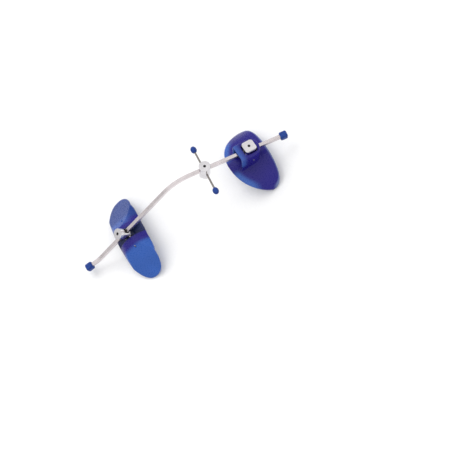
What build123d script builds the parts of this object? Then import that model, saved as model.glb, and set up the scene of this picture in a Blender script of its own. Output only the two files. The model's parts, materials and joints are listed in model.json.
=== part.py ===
from build123d import *
from math import atan, cos, degrees, radians, sin, sqrt, tan
import os

# Orthodontic face mask: one square steel bar down the middle of the face carries a
# forehead pad, a collar with a crossbar for elastics, and a chin cup.  The mask lies
# face up, on the wing tips of its two shells.  Millimetres and degrees.
#
# Part frame: +X from chin to forehead, +Y across the face, +Z up (the front).
# Mask frame: U along the upper straight of the bar, V across, N out of the face.

# ---------------------------------------------------------------- driving dimensions
COLLAR_X = 40.31            # collar's bar point, from the middle of the lying mask
COLLAR_Z = 53.00            # and above the table
REST_PITCH = 23.80          # the upper straight slopes down towards the forehead

BAR = 3.6                   # square section
BAR_EDGE = 0.35
BAR_UPPER = 90.0            # collar to upper end
BAR_BEND_START = 16.0       # collar to bend
BAR_BEND_RADIUS = 38.0
BAR_BEND = 49.0
BAR_LOWER = 110.0           # straight below the bend
BAR_FOOT_RADIUS = 25.0
BAR_FOOT_BEND = 18.0
BAR_FOOT = 10.5             # last straight, mostly inside its cap

ROD_CAP = 7.6               # rounded cube
ROD_CAP_EDGE = 2.4
ROD_CAP_WALL = 1.5          # beyond the bar's end

SLOT_WIDTH = 5.2            # the clamps' slots are wider than the bar, so pads can swing
SLOT_FLOOR = 0.15           # below the bar's rear face
SLOT_ROOM = 2.7             # above the bar's front face
SCREW_FIT = 0.05            # radial, in its threaded hole
SCREW_GAP = 0.10            # screw's point to the bar
SCREW_RADIUS = 1.5          # all three set screws are alike
SCREW_SOCKET = 1.5          # hexagon, across flats
SCREW_POINT = 1.1           # radius of the thin point below the thread
SCREW_SUNK = 0.8            # screw below the face of its head

COLLAR_RADIUS = 6.0
COLLAR_TOP = 6.0
COLLAR_HEAD = 3.4
COLLAR_BOTTOM = -11.0
COLLAR_FLAT = 5.1           # axis to the milled flats
COLLAR_SLIP = 0.08          # around the bar

CROSSBAR_RADIUS = 1.0
CROSSBAR_FIT = 0.05
CROSSBAR_SPREAD = 51.2      # between the middles of its caps
CROSSBAR_CAP_RADIUS = 3.1
CROSSBAR_CAP_LENGTH = 7.6

FOREHEAD_AT = 49.5          # collar to forehead clamp
FOREHEAD_YAW = 5.0          # clamp turned in its wide slot
PAD_SLOPE = 9.8             # the pad leans back from its boss, as a forehead does
FOREHEAD_HEAD = 12.5        # square head of the clamp
FOREHEAD_HEAD_CORNER = 3.0
FOREHEAD_HEAD_TOP = 8.4
FOREHEAD_PIN = -6.5         # hinge pin behind the bar's axis
TAIL_WIDTH = 10.0
TAIL_RADIUS = 3.2

PAD_SKIN = -6.35            # outer face of the pad, from the hinge pin
PAD_SHIFT = 1.4             # pad's widest line, from the pin towards the hair
PAD_UPPER = (17.4, 2.0, 3.2)    # upper edge: reach from the widest line, two powers
PAD_LOWER = (-25.9, 2.14, 1.27)  # lower edge
PAD_HALF_SPAN = 36.4
PAD_HALF_ARC = 41.7         # middle to wing tip, along the curve
PAD_RADIUS = 51.0           # across the middle
PAD_MIDDLE_ARC = 28.6
PAD_WING_RADIUS = 36.0
PAD_WING_ARC = 36.0
PAD_MEAN_RADIUS = 46.5
PAD_THICKNESS = 1.8

BOSS_HALF_WIDTH = 9.7
BOSS_WALL = 1.8
BOSS_ROOF = 1.4
BOSS_TOP = 11.0             # above the hinge pin
BOSS_MOUTH = -13.7          # open end, towards the collar
BOSS_CENTRE = 1.4           # centre of the round end
BOSS_WINDOW = 13.2          # opening in the roof for the clamp's head
BOSS_WINDOW_LENGTH = 14.4
BOSS_EXIT = 6.8             # slot where the bar leaves
BOSS_EXIT_FLOOR = 3.4
BOSS_ROOT = -16.0           # behind the pad's skin all over the boss

CHIN_AT = 69.8              # end of the bend to chin clamp
CHIN_TILT = -5.9            # cup on its hinge pin
CHIN_HEAD_RADIUS = 5.5
CHIN_HEAD_TOP = 9.7
CHIN_HEAD = 4.1
CHIN_BODY_WIDTH = 8.6
CHIN_SHOULDER = -3.2        # where the tail starts to taper
CHIN_TAIL_END = -11.4
CHIN_PIN = -6.7

CUP_CREST = 4.2             # outer face over the hinge pin
CUP_RIM = -6.7
CUP_FLANGE = 1.0            # thickness of the rim all round
CUP_LEDGE = 0.25            # width of the rim beyond the dome
CUP_UPPER_EDGE = 15.2       # pin to the edge below the lip
CUP_LOWER_EDGE = -21.5      # pin to the edge under the chin
CUP_HALF_SPAN = 46.3
CUP_HALF_ARC = 47.8         # middle to wing tip, along the rim
CUP_CROSS_RADIUS = 106.0    # of the rim, across the cup
CUP_WIDEST = -5.8
CUP_UPPER_POWERS = (2.9, 2.13)
CUP_LOWER_POWERS = (3.58, 2.56)
CUP_FACET_START = 10.0      # where the flat facet of each lobe begins
CUP_FACET_SLOPE = 33.0
CUP_THICKNESS = 1.6
CHANNEL_HALF_WIDTH = 5.4
CHANNEL_FLOOR = -6.1

PIN_RADIUS = 1.0
PIN_FIT = 0.04
FOREHEAD_PIN_LENGTH = 18.8
CHIN_PIN_LENGTH = 30.0

EPS = 0.01
OUTLINE_STEP = 15           # degrees of turn between an outline's points

os.makedirs("parts", exist_ok=True)

# ---------------------------------------------------------------- frames
U = Vector(cos(radians(REST_PITCH)), 0, -sin(radians(REST_PITCH)))
V = Vector(0, 1, 0)
N = U.cross(V)
COLLAR_POINT = Vector(COLLAR_X, 0, COLLAR_Z)

MASK = Plane(COLLAR_POINT, x_dir=U, z_dir=N)        # x = U, y = V, z = N
SIDE = Plane(COLLAR_POINT, x_dir=U, z_dir=-V)       # x = U, y = N


def turned(vector, other, angle):
    """The unit vector turned from itself towards a second one square to it."""
    return vector * cos(radians(angle)) + other * sin(radians(angle))


def across(frame):
    """Plane square to the frame's x, with x across the face and y outwards."""
    return Plane(frame.origin, x_dir=frame.y_dir, z_dir=frame.x_dir)


def along(frame):
    """Plane square to the frame's y, with x along the bar and y outwards."""
    return Plane(frame.origin, x_dir=frame.x_dir, z_dir=-frame.y_dir)


def hinged(frame, pin, tilt):
    """The frame of a shell that is tilted about a cross pin behind the bar."""
    origin = frame.origin + frame.z_dir * pin
    return Plane(
        origin,
        x_dir=turned(frame.x_dir, frame.z_dir, tilt),
        z_dir=turned(frame.z_dir, -frame.x_dir, tilt),
    )


# ---------------------------------------------------------------- the bar and its caps
def write(piece, name):
    piece.part.label = name
    export_step(piece.part, f"parts/{name}.step")


with BuildPart() as main_rod:
    with BuildLine(SIDE) as bar_path:
        upper = Line((BAR_UPPER, 0), (-BAR_BEND_START, 0))
        bend = JernArc(upper @ 1, upper % 1, BAR_BEND_RADIUS, BAR_BEND)
        lower = Line(bend @ 1, bend @ 1 + bend % 1 * BAR_LOWER)
        foot_bend = JernArc(lower @ 1, lower % 1, BAR_FOOT_RADIUS, -BAR_FOOT_BEND)
        foot = Line(foot_bend @ 1, foot_bend @ 1 + foot_bend % 1 * BAR_FOOT)
    with BuildSketch(Plane(upper @ 0, x_dir=V, z_dir=-U)):
        RectangleRounded(BAR, BAR, BAR_EDGE)
    sweep(path=bar_path.line)

UPPER_END = Plane(upper @ 0, x_dir=V, z_dir=U)
LOWER_END = Plane(foot @ 1, x_dir=V, z_dir=foot % 1)


def rod_cap(end):
    """Soft cap pushed over a bar end; its plane's z leaves the bar."""
    with BuildPart() as cap:
        with BuildSketch(end.offset(ROD_CAP_WALL - ROD_CAP)):
            RectangleRounded(ROD_CAP, ROD_CAP, ROD_CAP_EDGE)
        extrude(amount=ROD_CAP)
        rims = cap.faces().filter_by(end).edges()
        fillet(rims, ROD_CAP_EDGE * 0.6)
        with BuildSketch(end):
            RectangleRounded(BAR, BAR, BAR_EDGE)
        extrude(amount=-ROD_CAP, mode=Mode.SUBTRACT)
    return cap


write(main_rod, "main_rod")
write(rod_cap(UPPER_END), "rod_cap_upper")
write(rod_cap(LOWER_END), "rod_cap_lower")


# ---------------------------------------------------------------- set screws
def set_screw(frame, roof, top):
    """Socket screw: as wide as its hole above the slot's roof, with a thin point to the bar."""
    point = BAR / 2 + SCREW_GAP
    with BuildPart() as screw:
        with BuildSketch(frame.offset(roof)):
            Circle(SCREW_RADIUS - SCREW_FIT)
        extrude(amount=top - roof)
        chamfer(screw.edges().filter_by(GeomType.CIRCLE), SCREW_RADIUS * 0.12)
        with BuildSketch(frame.offset(point)):
            Circle(SCREW_POINT)
        extrude(amount=roof - point + SCREW_RADIUS * 0.3)
        with BuildSketch(frame.offset(top)):
            RegularPolygon(SCREW_SOCKET / 2, 6, major_radius=False)
        extrude(amount=-(top - roof) * 0.6, mode=Mode.SUBTRACT)
    return screw


def screw_hole(frame, roof, top):
    """Room for a set screw, from a slot's roof to the top of the clamp."""
    with BuildPart() as hole:
        with BuildSketch(frame.offset(roof - EPS)):
            Circle(SCREW_RADIUS)
        extrude(amount=top - roof + EPS * 2)
    return hole.part


# ---------------------------------------------------------------- collar and crossbar
CROSSBAR_N = -BAR / 2 - CROSSBAR_RADIUS - CROSSBAR_FIT

with BuildPart() as collar_body:
    with BuildSketch(MASK.offset(COLLAR_BOTTOM)):
        Circle(COLLAR_RADIUS - 0.2)
        Rectangle(COLLAR_FLAT * 2, COLLAR_FLAT * 2, rotation=45, mode=Mode.INTERSECT)
    extrude(amount=COLLAR_TOP - COLLAR_HEAD - COLLAR_BOTTOM)
    foot_edges = collar_body.faces().filter_by(MASK).sort_by(SortBy.DISTANCE)[-1].edges()
    chamfer(foot_edges, 0.5)
    with BuildSketch(MASK.offset(COLLAR_TOP - COLLAR_HEAD)):
        Circle(COLLAR_RADIUS)
    extrude(amount=COLLAR_HEAD)
    top_edge = collar_body.edges().filter_by(GeomType.CIRCLE).filter_by(
        lambda edge: abs(edge.radius - COLLAR_RADIUS) < EPS
    )
    fillet(top_edge, 0.4)
    slot_low = CROSSBAR_N + CROSSBAR_RADIUS - 0.3
    slot_high = BAR / 2 + 0.5
    with BuildSketch(across(MASK)):
        with Locations((0, (slot_low + slot_high) / 2)):
            Rectangle(BAR + COLLAR_SLIP * 2, slot_high - slot_low)
    extrude(amount=COLLAR_RADIUS * 2, both=True, mode=Mode.SUBTRACT)
    with BuildSketch(SIDE):
        with Locations((0, CROSSBAR_N)):
            Circle(CROSSBAR_RADIUS + CROSSBAR_FIT)
    extrude(amount=COLLAR_RADIUS * 2, both=True, mode=Mode.SUBTRACT)
    add(screw_hole(MASK, slot_high, COLLAR_TOP), mode=Mode.SUBTRACT)

write(collar_body, "collar_body")
write(set_screw(MASK, slot_high, COLLAR_TOP - SCREW_SUNK), "collar_set_screw")

CROSSBAR_HALF = CROSSBAR_SPREAD / 2 + CROSSBAR_CAP_LENGTH / 2 - 1.4

with BuildPart() as crossbar:
    with BuildSketch(SIDE):
        with Locations((0, CROSSBAR_N)):
            Circle(CROSSBAR_RADIUS)
    extrude(amount=CROSSBAR_HALF, both=True)

write(crossbar, "crossbar")


def crossbar_cap(side):
    """Oval button on a crossbar end; elastics hook behind it.  side is +1 or -1."""
    middle = MASK.from_local_coords(Vector(0, side * CROSSBAR_SPREAD / 2, CROSSBAR_N))
    frame = Plane(middle, x_dir=U, z_dir=V * side)
    half = CROSSBAR_CAP_LENGTH / 2
    with BuildPart() as cap:
        with BuildSketch(along(Plane(middle, x_dir=V * side, z_dir=N))):
            Ellipse(half * 1.04, CROSSBAR_CAP_RADIUS)
            Rectangle(half * 2, CROSSBAR_CAP_RADIUS * 2, mode=Mode.INTERSECT)
            with Locations((0, CROSSBAR_CAP_RADIUS)):
                Rectangle(half * 3, CROSSBAR_CAP_RADIUS * 2, mode=Mode.INTERSECT)
        revolve(axis=Axis(middle, V))
        with BuildSketch(frame.offset(CROSSBAR_HALF - CROSSBAR_SPREAD / 2)):
            Circle(CROSSBAR_RADIUS)
        extrude(amount=-CROSSBAR_CAP_LENGTH, mode=Mode.SUBTRACT)
    return cap


write(crossbar_cap(1), "crossbar_cap_left")
write(crossbar_cap(-1), "crossbar_cap_right")


# ---------------------------------------------------------------- slots and hinge pins
CLAMP_ROOF = BAR / 2 + SLOT_ROOM


def hinge_pin(frame, depth, length):
    """Plain pin across a clamp's tail, depth behind the bar's axis."""
    with BuildPart() as pin:
        with BuildSketch(along(frame)):
            with Locations((0, depth)):
                Circle(PIN_RADIUS)
        extrude(amount=length / 2, both=True)
        chamfer(pin.edges().filter_by(GeomType.CIRCLE), 0.2)
    return pin


def bar_slot(frame, depth):
    """The wide slot that the bar runs through, depth long each way."""
    low = -BAR / 2 - SLOT_FLOOR
    with BuildPart() as slot:
        with BuildSketch(across(frame)):
            with Locations((0, (low + CLAMP_ROOF) / 2)):
                Rectangle(SLOT_WIDTH, CLAMP_ROOF - low)
        extrude(amount=depth, both=True)
    return slot


def pin_hole(frame, depth, fit, length):
    with BuildPart() as hole:
        with BuildSketch(along(frame)):
            with Locations((0, depth)):
                Circle(PIN_RADIUS + fit)
        extrude(amount=length, both=True)
    return hole


# ---------------------------------------------------------------- forehead clamp
# The clamp is turned in its slot, and rolls a little so that the pad's two wing tips
# meet the table together.
FOREHEAD_ROLL = degrees(atan(tan(radians(REST_PITCH)) * sin(radians(FOREHEAD_YAW))))
yawed_v = turned(V, -U, FOREHEAD_YAW)
FOREHEAD = Plane(
    MASK.from_local_coords(Vector(FOREHEAD_AT, 0, 0)),
    x_dir=turned(U, V, FOREHEAD_YAW),
    z_dir=turned(N, yawed_v, FOREHEAD_ROLL),
)
head_low = -BAR / 2 - 2.0

with BuildPart() as forehead_clamp:
    with BuildSketch(FOREHEAD.offset(head_low)):
        RectangleRounded(FOREHEAD_HEAD, FOREHEAD_HEAD, FOREHEAD_HEAD_CORNER)
    extrude(amount=FOREHEAD_HEAD_TOP - head_low)
    chamfer(forehead_clamp.faces().filter_by(FOREHEAD).edges(), 0.6)
    with BuildSketch(along(FOREHEAD)):
        with Locations((0, FOREHEAD_PIN)):
            Circle(TAIL_RADIUS)
        with Locations((0, (FOREHEAD_PIN + head_low) / 2)):
            Rectangle(TAIL_RADIUS * 2, head_low - FOREHEAD_PIN)
    extrude(amount=TAIL_WIDTH / 2, both=True)
    add(bar_slot(FOREHEAD, FOREHEAD_HEAD).part, mode=Mode.SUBTRACT)
    add(pin_hole(FOREHEAD, FOREHEAD_PIN, PIN_FIT, TAIL_WIDTH).part, mode=Mode.SUBTRACT)
    add(screw_hole(FOREHEAD, CLAMP_ROOF, FOREHEAD_HEAD_TOP), mode=Mode.SUBTRACT)

write(forehead_clamp, "forehead_clamp_block")
forehead_screw = set_screw(FOREHEAD, CLAMP_ROOF, FOREHEAD_HEAD_TOP - SCREW_SUNK)
write(forehead_screw, "forehead_set_screw")
write(hinge_pin(FOREHEAD, FOREHEAD_PIN, FOREHEAD_PIN_LENGTH), "forehead_hinge_pin")


# ---------------------------------------------------------------- forehead pad
BOSS = hinged(FOREHEAD, FOREHEAD_PIN, 0)
PAD = hinged(FOREHEAD, FOREHEAD_PIN, PAD_SLOPE)
BEHIND = -PAD_HALF_SPAN     # behind every point of the pad


def egg_outline(frame, half_arc, radius, widest, upper, lower):
    """Plan of a shell: x towards the forehead, y across, widest at x = widest.

    The outline is laid on a curved sheet, so y is the plan of a length along its arc.
    Each edge is (reach, power, root): a superellipse, blunt where the powers are high.
    """
    def edge_point(turn):
        reach, power, root = upper if sin(radians(turn)) > 0 else lower
        station = cos(radians(turn))
        x = widest + reach * max(0.0, 1 - abs(station) ** power) ** (1 / root)
        return (x, radius * sin(half_arc * station / radius))

    with BuildSketch(frame) as plan:
        with BuildLine():
            Spline([edge_point(turn) for turn in range(0, 360, OUTLINE_STEP)], periodic=True)
        make_face()
    return plan.sketch


def pad_arch(inset):
    """Across the pad: the region behind its curved face, inset from the outer face."""
    with BuildSketch(across(PAD)) as arch:
        with BuildLine():
            crown = JernArc((0, PAD_SKIN - inset), (1, 0), PAD_RADIUS - inset, -PAD_MIDDLE_ARC)
            wing = JernArc(crown @ 1, crown % 1, PAD_WING_RADIUS - inset, -PAD_WING_ARC)
            low = Line(wing @ 1, (0, (wing @ 1).Y))
            Line(low @ 1, crown @ 0)
        make_face()
        mirror(about=Plane.YZ)
    return arch.sketch


def boss_plan(inset, mouth):
    """D-shaped plan of the boss: straight sides, round end towards the hair."""
    half = BOSS_HALF_WIDTH - inset
    with BuildSketch(BOSS.offset(BOSS_ROOT)) as plan:
        with Locations((BOSS_CENTRE, 0)):
            Circle(half)
        with Locations(((BOSS_CENTRE + mouth) / 2, 0)):
            Rectangle(BOSS_CENTRE - mouth, half * 2)
    return plan.sketch


with BuildPart() as boss_hollow:
    extrude(boss_plan(BOSS_WALL, BOSS_MOUTH * 1.5), amount=BOSS_TOP - BOSS_ROOF - BOSS_ROOT)
    extrude(pad_arch(0), amount=PAD_HALF_SPAN, both=True, mode=Mode.SUBTRACT)

with BuildPart() as forehead_pad:
    extrude(pad_arch(0), amount=PAD_HALF_SPAN, both=True)
    pad_plan = egg_outline(
        PAD.offset(BEHIND * 2), PAD_HALF_ARC, PAD_MEAN_RADIUS, PAD_SHIFT, PAD_UPPER, PAD_LOWER,
    )
    extrude(pad_plan, amount=PAD_HALF_SPAN * 3, mode=Mode.INTERSECT)
    extrude(boss_plan(0, BOSS_MOUTH), amount=BOSS_TOP - BOSS_ROOT)
    roof = forehead_pad.faces().filter_by(BOSS).sort_by(Axis(BOSS.origin, BOSS.z_dir))[-1]
    fillet(roof.edges(), 1.2)
    extrude(pad_arch(PAD_THICKNESS), amount=PAD_HALF_SPAN, both=True, mode=Mode.SUBTRACT)
    add(boss_hollow.part, mode=Mode.SUBTRACT)
    with BuildSketch(BOSS):
        RectangleRounded(BOSS_WINDOW_LENGTH, BOSS_WINDOW, FOREHEAD_HEAD_CORNER)
    extrude(amount=BOSS_TOP + 1, mode=Mode.SUBTRACT)
    exit_top = BOSS_TOP - BOSS_ROOF
    with BuildSketch(across(BOSS)):
        with Locations((0, (BOSS_EXIT_FLOOR + exit_top) / 2)):
            Rectangle(BOSS_EXIT, exit_top - BOSS_EXIT_FLOOR)
    extrude(amount=BOSS_HALF_WIDTH * 2, mode=Mode.SUBTRACT)
    for side in (-1, 1):
        with BuildSketch(along(BOSS).offset(side * (BOSS_HALF_WIDTH - BOSS_WALL / 2))):
            Circle(PIN_RADIUS * 2.4)
        extrude(amount=-side * (BOSS_HALF_WIDTH - BOSS_WALL / 2 - TAIL_WIDTH / 2 - 0.3))
    add(pin_hole(BOSS, 0, 0, BOSS_HALF_WIDTH * 2).part, mode=Mode.SUBTRACT)

write(forehead_pad, "forehead_pad")

# ---------------------------------------------------------------- chin clamp
CHIN_POINT = bend @ 1 + bend % 1 * CHIN_AT
CHIN = Plane(CHIN_POINT, x_dir=-(bend % 1), z_dir=V.cross(bend % 1))
chin_neck = CHIN_HEAD_TOP - CHIN_HEAD

with BuildPart() as chin_clamp:
    with BuildSketch(CHIN.offset(chin_neck)):
        Circle(CHIN_HEAD_RADIUS)
    extrude(amount=CHIN_HEAD)
    fillet(chin_clamp.edges().filter_by(GeomType.CIRCLE), 0.4)
    with BuildSketch(CHIN.offset(CHIN_SHOULDER)):
        Circle(CHIN_HEAD_RADIUS)
        Rectangle(CHIN_HEAD_RADIUS * 2, CHIN_BODY_WIDTH, mode=Mode.INTERSECT)
    extrude(amount=chin_neck - CHIN_SHOULDER)
    with BuildSketch(CHIN.offset(CHIN_SHOULDER)):
        Rectangle(CHIN_HEAD_RADIUS * 1.6, CHIN_BODY_WIDTH)
    with BuildSketch(CHIN.offset(CHIN_TAIL_END)):
        Rectangle(CHIN_HEAD_RADIUS, CHIN_BODY_WIDTH * 0.66)
    loft()
    add(bar_slot(CHIN, CHIN_HEAD_RADIUS * 2).part, mode=Mode.SUBTRACT)
    add(pin_hole(CHIN, CHIN_PIN, PIN_FIT, CHIN_BODY_WIDTH).part, mode=Mode.SUBTRACT)
    add(screw_hole(CHIN, CLAMP_ROOF, CHIN_HEAD_TOP), mode=Mode.SUBTRACT)

write(chin_clamp, "chin_clamp_post")
write(set_screw(CHIN, CLAMP_ROOF, CHIN_HEAD_TOP - SCREW_SUNK), "chin_set_screw")
write(hinge_pin(CHIN, CHIN_PIN, CHIN_PIN_LENGTH), "chin_hinge_pin")

# ---------------------------------------------------------------- chin cup
CUP = hinged(CHIN, CHIN_PIN, CHIN_TILT)
CUP_MIDDLE = (CUP_UPPER_EDGE + CUP_LOWER_EDGE) / 2
CUP_HALF_LENGTH = (CUP_UPPER_EDGE - CUP_LOWER_EDGE) / 2 - CUP_LEDGE
CUP_RISE = CUP_CREST - CUP_RIM
CUP_RADIUS = (CUP_HALF_LENGTH ** 2 + CUP_RISE ** 2) / (2 * CUP_RISE)
CUP_FLOOR = CUP_CREST - (CUP_HALF_SPAN + 8) * tan(radians(CUP_FACET_SLOPE))
CUP_WIDE = CUP_HALF_LENGTH + 8


def cup_dome(inset, shelf):
    """Along the cup: the region behind its round crest, widened below the shelf."""
    radius = CUP_RADIUS - inset
    reach = sqrt(radius ** 2 - (shelf - CUP_CREST + CUP_RADIUS) ** 2)
    with BuildSketch(along(CUP)) as dome:
        with BuildLine():
            ThreePointArc(
                (CUP_MIDDLE - reach, shelf), (CUP_MIDDLE, CUP_CREST - inset),
                (CUP_MIDDLE + reach, shelf),
            )
            Polyline(
                (CUP_MIDDLE + reach, shelf), (CUP_MIDDLE + CUP_WIDE, shelf),
                (CUP_MIDDLE + CUP_WIDE, CUP_FLOOR), (CUP_MIDDLE - CUP_WIDE, CUP_FLOOR),
                (CUP_MIDDLE - CUP_WIDE, shelf), (CUP_MIDDLE - reach, shelf),
            )
        make_face()
    return dome.sketch


def cup_roof(inset):
    """Across the cup: level over the bar, then a flat facet down to each wing tip."""
    drop = inset / cos(radians(CUP_FACET_SLOPE))
    ridge = CUP_CREST - drop
    outer = CUP_HALF_SPAN + 6
    fall = (outer - CUP_FACET_START) * tan(radians(CUP_FACET_SLOPE))
    with BuildSketch(across(CUP)) as roof:
        with BuildLine():
            Polyline(
                (-outer, ridge - fall), (-CUP_FACET_START, ridge), (CUP_FACET_START, ridge),
                (outer, ridge - fall), (outer, CUP_FLOOR), (-outer, CUP_FLOOR), close=True,
            )
        make_face()
    return roof.sketch


CUP_AXIS = Axis(CUP.origin + CUP.z_dir * (CUP_RIM - CUP_CROSS_RADIUS), CUP.x_dir)
CUP_SWEEP = 70.0            # degrees about that axis, enough for both wings


def bent_dome(inset, shelf):
    """The dome carried round the gentle curve of the rim."""
    turned_back = cup_dome(inset, shelf).rotate(CUP_AXIS, CUP_SWEEP / 2)
    revolve(turned_back, axis=CUP_AXIS, revolution_arc=-CUP_SWEEP)


with BuildPart() as cup_hollow:
    bent_dome(CUP_THICKNESS, CUP_RIM - CUP_FLANGE)
    extrude(cup_roof(CUP_THICKNESS), amount=CUP_WIDE * 2, both=True, mode=Mode.INTERSECT)
    with BuildSketch(CUP.offset(CUP_RIM - CUP_THICKNESS)):
        Rectangle(CUP_WIDE * 4, (CHANNEL_HALF_WIDTH + CUP_THICKNESS) * 2)
    extrude(amount=CUP_RISE + CUP_THICKNESS * 2, mode=Mode.SUBTRACT)

with BuildPart() as chin_cup:
    bent_dome(0, CUP_RIM)
    extrude(cup_roof(0), amount=CUP_WIDE * 2, both=True, mode=Mode.INTERSECT)
    cup_plan = egg_outline(
        CUP.offset(-CUP_HALF_SPAN), CUP_HALF_ARC, CUP_CROSS_RADIUS, CUP_WIDEST,
        (CUP_UPPER_EDGE - CUP_WIDEST, *CUP_UPPER_POWERS),
        (CUP_LOWER_EDGE - CUP_WIDEST, *CUP_LOWER_POWERS),
    )
    extrude(cup_plan, amount=CUP_HALF_SPAN * 2, mode=Mode.INTERSECT)
    add(cup_hollow.part, mode=Mode.SUBTRACT)
    with BuildSketch(CUP.offset(CHANNEL_FLOOR)):
        Rectangle(CUP_WIDE * 4, CHANNEL_HALF_WIDTH * 2)
    extrude(amount=CUP_RISE * 2, mode=Mode.SUBTRACT)
    add(pin_hole(CUP, 0, 0, CUP_HALF_SPAN).part, mode=Mode.SUBTRACT)

write(chin_cup, "chin_cup")
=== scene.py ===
"""An orthodontic face mask lying face up: polished steel bar and clamps, tinted blue plastic shells."""

import json
import math

import bpy
import numpy as np
from mathutils import Matrix, Vector


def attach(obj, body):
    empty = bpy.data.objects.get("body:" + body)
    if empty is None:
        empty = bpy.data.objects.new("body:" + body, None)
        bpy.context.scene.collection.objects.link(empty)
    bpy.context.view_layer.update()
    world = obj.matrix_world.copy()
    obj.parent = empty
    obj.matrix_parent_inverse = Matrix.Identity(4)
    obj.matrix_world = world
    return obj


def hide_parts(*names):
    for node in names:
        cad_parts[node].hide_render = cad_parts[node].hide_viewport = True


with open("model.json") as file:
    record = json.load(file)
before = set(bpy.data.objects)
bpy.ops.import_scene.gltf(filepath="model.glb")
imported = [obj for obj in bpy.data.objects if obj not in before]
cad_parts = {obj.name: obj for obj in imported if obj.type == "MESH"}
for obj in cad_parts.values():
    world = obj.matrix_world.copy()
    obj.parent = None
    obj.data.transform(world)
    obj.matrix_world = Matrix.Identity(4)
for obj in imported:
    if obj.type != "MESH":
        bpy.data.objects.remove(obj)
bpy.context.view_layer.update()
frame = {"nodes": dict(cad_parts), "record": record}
nodes = frame["nodes"]
behaviour = frame["record"]["behaviour"]
joints = {joint["name"]: joint for joint in behaviour["joints"]}
MM = 0.001

# ---------------------------------------------------------------- the mask's own directions
ALONG = Vector(joints["collar_slide"]["axis"]).normalized()         # up the bar, to the forehead
ACROSS = Vector((0, 1, 0))
OUT = Vector(joints["collar_screw_turn"]["axis"]).normalized()      # out of the face
COLLAR = Vector(joints["collar_screw_turn"]["pos_m"])


def from_mask(along, across, out):
    """A direction given in the mask's own directions."""
    return ALONG * along + ACROSS * across + OUT * out


# ---------------------------------------------------------------- camera
VIEW_RIGHT = from_mask(0.900, -0.435, 0.0).normalized()
VIEW_BACK = VIEW_RIGHT.cross(from_mask(0.388, 0.8015, 0.455)).normalized()
VIEW_UP = VIEW_BACK.cross(VIEW_RIGHT)
VIEW_WIDTH = 0.450          # metres across the frame at the mask
VIEW_DISTANCE = 4.0
VIEW_PAST_COLLAR = 0.0204   # the view's centre, right of the collar
VIEW_BELOW_COLLAR = 0.056   # and below it
SENSOR = 36.0

camera_data = bpy.data.cameras.new("camera")
camera = bpy.data.objects.new("camera", camera_data)
bpy.context.scene.collection.objects.link(camera)
bpy.context.scene.camera = camera
camera_data.sensor_width = SENSOR
camera_data.lens = SENSOR * VIEW_DISTANCE / VIEW_WIDTH
camera_data.clip_end = VIEW_DISTANCE * 5
view_centre = COLLAR + VIEW_RIGHT * VIEW_PAST_COLLAR - VIEW_UP * VIEW_BELOW_COLLAR
turn = Matrix((VIEW_RIGHT, VIEW_UP, VIEW_BACK)).transposed().to_4x4()
camera.matrix_world = Matrix.Translation(view_centre + VIEW_BACK * VIEW_DISTANCE) @ turn


# ---------------------------------------------------------------- node helpers
def set_range(node, low, high, start, end):
    """Makes a map range node turn low..high into start..end."""
    for key, number in zip(("From Min", "From Max", "To Min", "To Max"), (low, high, start, end)):
        node.inputs[key].default_value = number


class Tree:
    """A material's nodes, made in order and linked by name."""

    def __init__(self, name):
        self.material = bpy.data.materials.new(name)
        self.material.use_nodes = True
        self.tree = self.material.node_tree
        self.shader = self.tree.nodes["Principled BSDF"]
        self.place = self.add("ShaderNodeTexCoord").outputs["Object"]

    def add(self, kind, **settings):
        node = self.tree.nodes.new(kind)
        for key, value in settings.items():
            setattr(node, key, value)
        return node

    def link(self, source, target):
        self.tree.links.new(source, target)

    def set(self, **values):
        """Constants straight on the shader's own sockets."""
        for key, value in values.items():
            self.shader.inputs[key.replace("_", " ")].default_value = value

    def stretched(self, scale):
        """Object coordinates in millimetres, scaled along each axis."""
        mapping = self.add("ShaderNodeMapping")
        mapping.inputs["Scale"].default_value = [1000 * part for part in scale]
        self.link(self.place, mapping.inputs["Vector"])
        return mapping.outputs["Vector"]

    def noise(self, scale, detail=3.0, roughness=0.5):
        node = self.add("ShaderNodeTexNoise")
        node.inputs["Scale"].default_value = 1.0
        node.inputs["Detail"].default_value = detail
        node.inputs["Roughness"].default_value = roughness
        self.link(self.stretched(scale), node.inputs["Vector"])
        return node.outputs["Fac"]

    def ramp(self, value, low, high, start, end):
        """Maps a value from low..high to start..end."""
        node = self.add("ShaderNodeMapRange")
        set_range(node, low, high, start, end)
        self.link(value, node.inputs["Value"])
        return node.outputs["Result"]

    def mix(self, factor, one, two):
        node = self.add("ShaderNodeMix", data_type="RGBA")
        self.link(factor, node.inputs["Factor"])
        for socket, colour in (("A", one), ("B", two)):
            target = [s for s in node.inputs if s.name == socket and s.type == "RGBA"][0]
            if isinstance(colour, tuple):
                target.default_value = (*colour, 1.0)
            else:
                self.link(colour, target)
        return [s for s in node.outputs if s.type == "RGBA"][0]

    def bump(self, height, distance, strength=1.0):
        node = self.add("ShaderNodeBump")
        node.inputs["Strength"].default_value = strength
        node.inputs["Distance"].default_value = distance
        self.link(height, node.inputs["Height"])
        self.link(node.outputs["Normal"], self.shader.inputs["Normal"])


# ---------------------------------------------------------------- materials
SMEAR_DEPTH = 0.86          # how much of the tint is left in the darker smears of the steel


def steel(name, colouring, low, high, drawn):
    """Polished steel with uneven gloss, its roughness from low to high.

    drawn scales the fine lines along each axis: small along the way the steel was drawn.
    """
    t = Tree(name)
    t.set(Metallic=1.0)
    lines = t.noise(drawn, 4.0, 0.6)
    smears = t.noise((0.12, 0.12, 0.12), 3.0)
    shade = t.ramp(smears, 0.3, 0.7, 0.0, 1.0)
    darker = tuple(part * SMEAR_DEPTH for part in colouring)
    t.link(t.mix(shade, colouring, darker), t.shader.inputs["Base Color"])
    t.link(t.ramp(lines, 0.3, 0.7, low, high), t.shader.inputs["Roughness"])
    t.bump(lines, 0.00002, 0.35)
    return t.material


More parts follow.
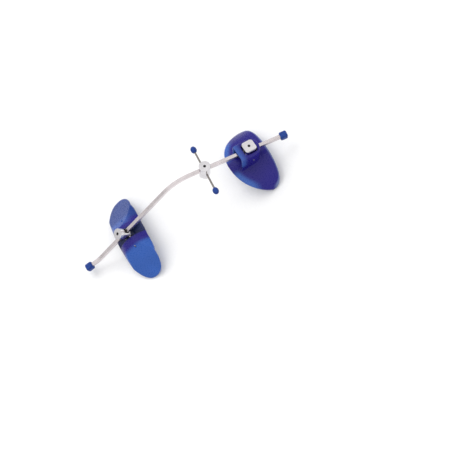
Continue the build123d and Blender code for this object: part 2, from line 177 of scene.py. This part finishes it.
def plastic(name):
    """Tinted moulded plastic: the shell's stored colours, its blue tint with painted light and shade,
    faint flow lines, a smooth skin.
    """
    t = Tree(name)
    # the stored colours: the shell's blue tint with painted light and shade
    colouring = t.add("ShaderNodeAttribute", attribute_name="colouring").outputs["Color"]
    flow = t.noise((0.035, 0.02, 0.05), 2.0)
    fine = t.noise((0.9, 0.9, 0.9), 2.0)
    shade = t.add("ShaderNodeHueSaturation")
    t.link(colouring, shade.inputs["Color"])
    t.link(t.ramp(flow, 0.35, 0.65, 0.92, 1.10), shade.inputs["Value"])
    t.link(shade.outputs["Color"], t.shader.inputs["Base Color"])
    t.link(t.ramp(fine, 0.3, 0.7, 0.24, 0.34), t.shader.inputs["Roughness"])
    t.set(Transmission_Weight=0.06, IOR=1.49, Specular_IOR_Level=0.3)
    t.bump(fine, 0.00001, 0.08)
    return t.material


def vinyl(name, deep, pale):
    """Soft dipped vinyl: a low sheen, mottled between a deep and a pale blue."""
    t = Tree(name)
    mottle = t.noise((0.5, 0.5, 0.5), 3.0)
    grain = t.noise((4.0, 4.0, 4.0), 3.0)
    t.link(t.mix(t.ramp(mottle, 0.35, 0.65, 0.0, 1.0), deep, pale), t.shader.inputs["Base Color"])
    t.link(t.ramp(grain, 0.3, 0.7, 0.34, 0.5), t.shader.inputs["Roughness"])
    t.set(Specular_IOR_Level=0.25, Coat_Weight=0.05, Coat_Roughness=0.25)
    t.bump(grain, 0.00003, 0.5)
    return t.material


BAR_STEEL = steel("bar_steel", (0.74, 0.68, 0.69), 0.20, 0.32, (0.05, 3.0, 3.0))
ROD_STEEL = steel("rod_steel", (0.30, 0.275, 0.26), 0.18, 0.30, (3.0, 0.05, 3.0))
TURNED_STEEL = steel("turned_steel", (0.76, 0.74, 0.76), 0.14, 0.26, (2.5, 2.5, 2.5))
# near-black steel for the set screws: painted shade of their sunk holes and hex sockets
SCREW_STEEL_PAINTED_SHADE = steel("screw_steel", (0.07, 0.07, 0.075), 0.30, 0.46, (3.0, 3.0, 3.0))
SHELL_PLASTIC = plastic("shell_plastic")
CAP_VINYL = vinyl("cap_vinyl", (0.008, 0.034, 0.20), (0.014, 0.055, 0.27))

FINISH = {
    "main_rod": BAR_STEEL, "crossbar": ROD_STEEL,
    "collar_body": TURNED_STEEL, "forehead_clamp_block": TURNED_STEEL,
    "chin_clamp_post": TURNED_STEEL,
    "forehead_hinge_pin": TURNED_STEEL, "chin_hinge_pin": TURNED_STEEL,
    "collar_set_screw": SCREW_STEEL_PAINTED_SHADE, "forehead_set_screw": SCREW_STEEL_PAINTED_SHADE,
    "chin_set_screw": SCREW_STEEL_PAINTED_SHADE,
    "forehead_pad": SHELL_PLASTIC, "chin_cup": SHELL_PLASTIC,
    "rod_cap_upper": CAP_VINYL, "rod_cap_lower": CAP_VINYL,
    "crossbar_cap_left": CAP_VINYL, "crossbar_cap_right": CAP_VINYL,
}


def paint(obj, material):
    """Gives an object one material and no other."""
    obj.data.materials.clear()
    obj.data.materials.append(material)


for name, material in FINISH.items():
    for material_slot in nodes[name].material_slots:
        material_slot.material = material


# ---------------------------------------------------------------- colours of the shells: blue tint with painted light and shade
VIOLET = (0.016, 0.011, 0.19)
# sky blue: painted light, let through the pad's thin lower rim and mouth, and a painted highlight band
# on the cup
SKY_PAINTED_LIGHT = (0.045, 0.115, 0.42)
# pale blue-grey: painted highlight along the pad's upper rim
PALE_HIGHLIGHT = (0.20, 0.26, 0.46)
# royal blue: the cup's blue, painted lighter on the near lobe where light falls on it
ROYAL_LIT = (0.030, 0.105, 0.42)
# deep blue: the cup's blue, painted darker on the far lobe where it is in shade
DEEP_SHADED = (0.012, 0.045, 0.24)
# navy: painted shade in the cup's channel
NAVY_SHADE = (0.012, 0.020, 0.085)
HUMP_GAIN = 1.15            # the cup's hump is a little lighter than the pad
SECTORS = 240               # steps round a shell in which its rim is looked for


def shell_places(mesh, hinge, screw):
    """The mesh's points in millimetres from the shell's hinge pin: along, across and out."""
    points = np.empty(len(mesh.vertices) * 3)
    mesh.vertices.foreach_get("co", points)
    pin = joints[hinge]
    across = Vector(pin["axis"]).normalized()
    out = Vector(joints[screw]["axis"]).normalized()
    along = across.cross(out)
    offset = (points.reshape(-1, 3) - np.array(pin["pos_m"])) / MM
    return [offset @ np.array(axis) for axis in (along, across, out)]


def inward(along, across):
    """Distance in from the shell's outline, seen from the front."""
    middle = (along.max() + along.min()) / 2
    angle = np.arctan2(across, along - middle)
    reach = np.hypot(across, along - middle)
    sector = ((angle / (2 * math.pi) + 0.5) * SECTORS).astype(int) % SECTORS
    rim = np.zeros(SECTORS)
    np.maximum.at(rim, sector, reach)
    return rim[sector] - reach


def step(value, low, high):
    """Smooth step from 0 at low to 1 at high."""
    part = np.clip((value - low) / (high - low), 0.0, 1.0)
    return part * part * (3 - 2 * part)


def blend(colours, colour, weight):
    """Moves each point's colour towards one colour, by that point's weight."""
    return colours + (np.array(colour) - colours) * weight[:, None]


def store_colouring(mesh, colours):
    """Stores a colour for every point of the mesh."""
    layer = mesh.color_attributes.new("colouring", "FLOAT_COLOR", "POINT")
    values = np.ones((len(colours), 4))
    values[:, :3] = colours
    layer.data.foreach_set("color", values.ravel())


def pad_tint_and_painted_light(mesh):
    """Violet, paling to sky blue along the lower rim and the boss's open mouth as painted light let
    through the thin plastic, with a painted pale highlight along the upper rim.
    """
    along, across, out = shell_places(mesh, "forehead_tilt", "forehead_screw_turn")
    rim = inward(along, across)
    colours = np.tile(np.array(VIOLET), (len(along), 1))

    lower_half = step(-along, 2.0, 12.0)
    lower_rim_light_through = 1 - step(rim, 2.5, 8.0)
    off_middle = step(np.abs(across), 3.0, 12.0)
    # painted light: sky blue where light comes through the thin lower rim, kept off the middle
    colours = blend(colours, SKY_PAINTED_LIGHT, lower_half * lower_rim_light_through * off_middle)

    on_boss = step(out, -4.0, 0.0) * (1 - step(np.abs(across), 10.0, 11.5))
    mouth_light_through = 1 - step(along, -12.5, -6.0)
    # painted light: sky blue where light comes through at the boss's open mouth
    colours = blend(colours, SKY_PAINTED_LIGHT, on_boss * mouth_light_through * 0.8)

    upper_rim_highlight = step(along, 6.0, 12.0) * (1 - step(rim, 0.8, 2.4))
    # painted highlight: pale blue-grey along the upper rim
    return blend(colours, PALE_HIGHLIGHT, upper_rim_highlight * 0.7)


def cup_tint_and_painted_light(mesh):
    """Violet hump; royal blue near lobe and deep blue far lobe, the near one painted lighter and the
    far one darker as light falls on them; a painted sky-blue highlight where the far facet starts;
    painted shade in the navy channel.
    """
    along, across, out = shell_places(mesh, "chin_tilt", "chin_screw_turn")
    colours = np.tile(np.array(VIOLET), (len(along), 1)) * HUMP_GAIN
    lit_near_lobe = step(-across, 12.0, 17.0)
    shaded_far_lobe = step(across, 12.0, 17.0)
    # painted light and shade: the near lobe lighter, the far lobe darker, as light falls on them
    colours = blend(colours, ROYAL_LIT, lit_near_lobe)
    colours = blend(colours, DEEP_SHADED, shaded_far_lobe)

    # painted highlight: a sky-blue band where the far facet starts, below the crest
    facet_start_highlight = step(across, 9.5, 12.0) * (1 - step(across, 16.0, 22.0))
    below_crest = 1 - step(along, 4.0, 12.0)
    colours = blend(colours, SKY_PAINTED_LIGHT, facet_start_highlight * below_crest * 0.7)

    # painted shade: navy down the cup's channel
    channel_shade = (1 - step(np.abs(across), 5.2, 6.6)) * step(out, -30.0, -20.0)
    return blend(colours, NAVY_SHADE, channel_shade)


# ---------------------------------------------------------------- moulded shells
SHELL_VOXEL = 0.4
SMOOTH_ROUNDS = 10
WELD_GAP = 0.002            # millimetres


def moulded(name, body, colouring):
    """A moulded twin of a CAD shell, with rounded rims, filleted corners and its stored colours: its
    blue tint with painted light and shade.
    """
    mesh = nodes[name].data.copy()
    mesh.name = name + "_moulded"
    shell = bpy.data.objects.new(name + "_moulded", mesh)
    bpy.context.scene.collection.objects.link(shell)
    weld = shell.modifiers.new("weld", "WELD")
    weld.merge_threshold = WELD_GAP * MM
    remesh = shell.modifiers.new("remesh", "REMESH")
    remesh.mode = "VOXEL"
    remesh.voxel_size = SHELL_VOXEL * MM
    smooth = shell.modifiers.new("smooth", "SMOOTH")
    smooth.factor = 0.5
    smooth.iterations = SMOOTH_ROUNDS
    bpy.context.view_layer.update()
    graph = bpy.context.evaluated_depsgraph_get()
    result = bpy.data.meshes.new_from_object(shell.evaluated_get(graph))
    shell.modifiers.clear()
    shell.data = result
    for face in shell.data.polygons:
        face.use_smooth = True
    store_colouring(shell.data, colouring(shell.data))
    paint(shell, FINISH[name])
    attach(shell, body)
    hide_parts(name)


moulded("forehead_pad", "forehead_shell", pad_tint_and_painted_light)
moulded("chin_cup", "chin_shell", cup_tint_and_painted_light)


# ---------------------------------------------------------------- floor
FLOOR_HALF = 3.0            # metres


def floor():
    """A plain pale floor under the mask."""
    mesh = bpy.data.meshes.new("floor")
    signs = [(-1, -1), (1, -1), (1, 1), (-1, 1)]
    corners = [(x * FLOOR_HALF, y * FLOOR_HALF, 0) for x, y in signs]
    mesh.from_pydata(corners, [], [(0, 1, 2, 3)])
    obj = bpy.data.objects.new("floor", mesh)
    bpy.context.scene.collection.objects.link(obj)
    t = Tree("floor_paper")
    grain = t.noise((0.4, 0.4, 0.4), 2.0)
    shade = t.ramp(grain, 0.3, 0.7, 0.0, 1.0)
    t.link(t.mix(shade, (0.95, 0.95, 0.95), (0.93, 0.93, 0.93)), t.shader.inputs["Base Color"])
    t.set(Roughness=0.9, Specular_IOR_Level=0.1)
    paint(obj, t.material)


floor()


# ---------------------------------------------------------------- light
SOFTBOX_DISTANCE = 3.0
SOFTBOX_SIZE = 2.2


def softbox(name, direction, power):
    """A square area light that looks at the mask from a direction and shows in no reflection."""
    data = bpy.data.lights.new(name, "AREA")
    data.shape = "SQUARE"
    data.size = SOFTBOX_SIZE
    data.energy = power
    lamp = bpy.data.objects.new(name, data)
    bpy.context.scene.collection.objects.link(lamp)
    lamp.visible_glossy = False
    offset = direction.normalized() * SOFTBOX_DISTANCE
    lamp.location = view_centre + offset
    lamp.rotation_euler = offset.to_track_quat("Z", "Y").to_euler()


def studio():
    """An even white surround, dimmer towards the floor."""
    world = bpy.data.worlds.new("studio")
    bpy.context.scene.world = world
    world.use_nodes = True
    sky = world.node_tree
    background = sky.nodes["Background"]
    where = sky.nodes.new("ShaderNodeTexCoord")
    split = sky.nodes.new("ShaderNodeSeparateXYZ")
    rise = sky.nodes.new("ShaderNodeMapRange")
    set_range(rise, -0.1, 0.75, 0.35, 1.05)
    background.inputs["Color"].default_value = (1.0, 1.0, 1.0, 1.0)
    sky.links.new(where.outputs["Generated"], split.inputs["Vector"])
    sky.links.new(split.outputs["Z"], rise.inputs["Value"])
    sky.links.new(rise.outputs["Result"], background.inputs["Strength"])


softbox("key", VIEW_UP * 1.2 + VIEW_RIGHT * -1.2 + VIEW_BACK * 0.7, 36.0)
softbox("fill", VIEW_RIGHT * 1.0 + VIEW_BACK * 0.7 - VIEW_UP * 0.4, 10.0)
studio()
bpy.context.scene.view_settings.view_transform = "Standard"
